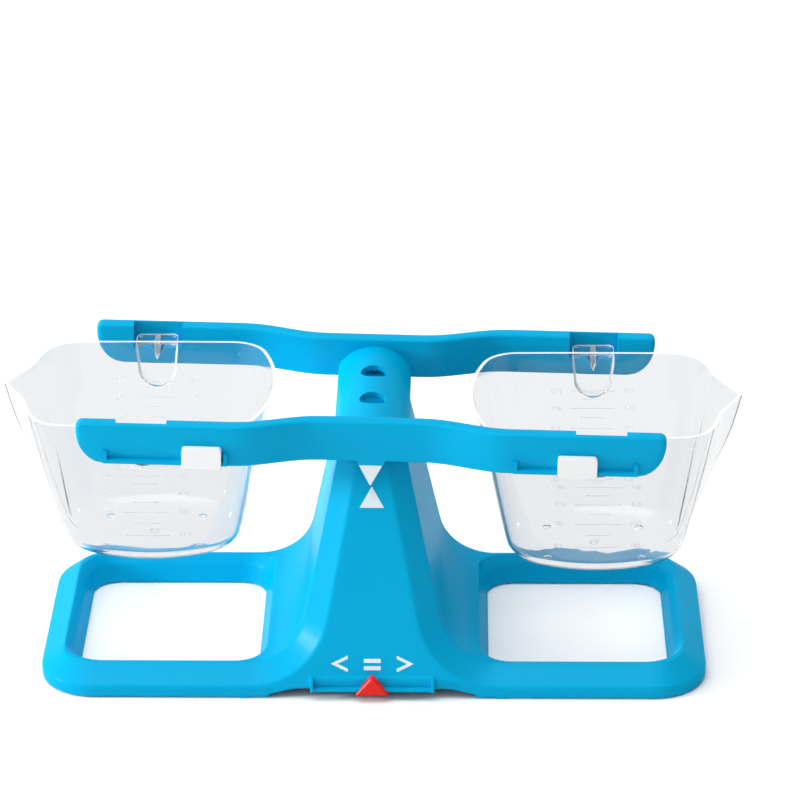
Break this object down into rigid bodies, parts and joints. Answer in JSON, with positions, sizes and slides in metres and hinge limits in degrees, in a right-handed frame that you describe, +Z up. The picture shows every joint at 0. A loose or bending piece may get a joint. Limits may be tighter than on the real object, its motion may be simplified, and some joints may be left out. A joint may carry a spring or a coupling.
{
  "type": "bucket balance",
  "caption": "Toy balance: clear pouring buckets hang in pockets of a tilting two-armed beam on a wide column base, with sliding clips for fine adjustment and a zero marker.",
  "frame": {"origin": "bottom centre, on the ground in the middle of the base", "axes": "+Z up, +X towards the right bucket, -Y is the front with the printed signs"},
  "size_m": [0.3856, 0.1507, 0.1549],
  "materials": {
    "blue": "smooth, slightly glossy moulded plastic",
    "clear": "clear moulded plastic",
    "white": "smooth moulded plastic",
    "red": "smooth moulded plastic"
  },
  "bodies": {
    "base": {"base": "blue"},
    "beam": {"beam": "blue"},
    "bucket_left": {"bucket_left": "clear"},
    "bucket_right": {"bucket_right": "clear"},
    "slider_left": {"slider_left": "white"},
    "slider_right": {"slider_right": "white"},
    "marker": {"marker": "red"}
  },
  "joints": [
    {"name": "beam_tilt", "type": "hinge", "parent": "base", "child": "beam", "pos_m": [0, 0, 0.1406], "axis": [0, 1, 0], "range_deg": [-9.5, 6.5]},
    {"name": "bucket_left_swing", "type": "hinge", "parent": "beam", "child": "bucket_left", "pos_m": [-0.11696, 0, 0.13616], "axis": [0, 1, 0], "range_deg": [-8.3, 11.3]},
    {"name": "bucket_right_swing", "type": "hinge", "parent": "beam", "child": "bucket_right", "pos_m": [0.11656, 0, 0.13004], "axis": [0, 1, 0], "range_deg": [-8.3, 11.3]},
    {"name": "slider_left_slide", "type": "slide", "parent": "beam", "child": "slider_left", "axis": [0.9997, 0, -0.0262], "range_m": [-0.0377, 0.0008]},
    {"name": "slider_right_slide", "type": "slide", "parent": "beam", "child": "slider_right", "axis": [0.9997, 0, -0.0262], "range_m": [-0.0201, 0.0184]},
    {"name": "marker_slide", "type": "slide", "parent": "base", "child": "marker", "axis": [1, 0, 0], "range_m": [-0.0215, 0.0215]}
  ]
}
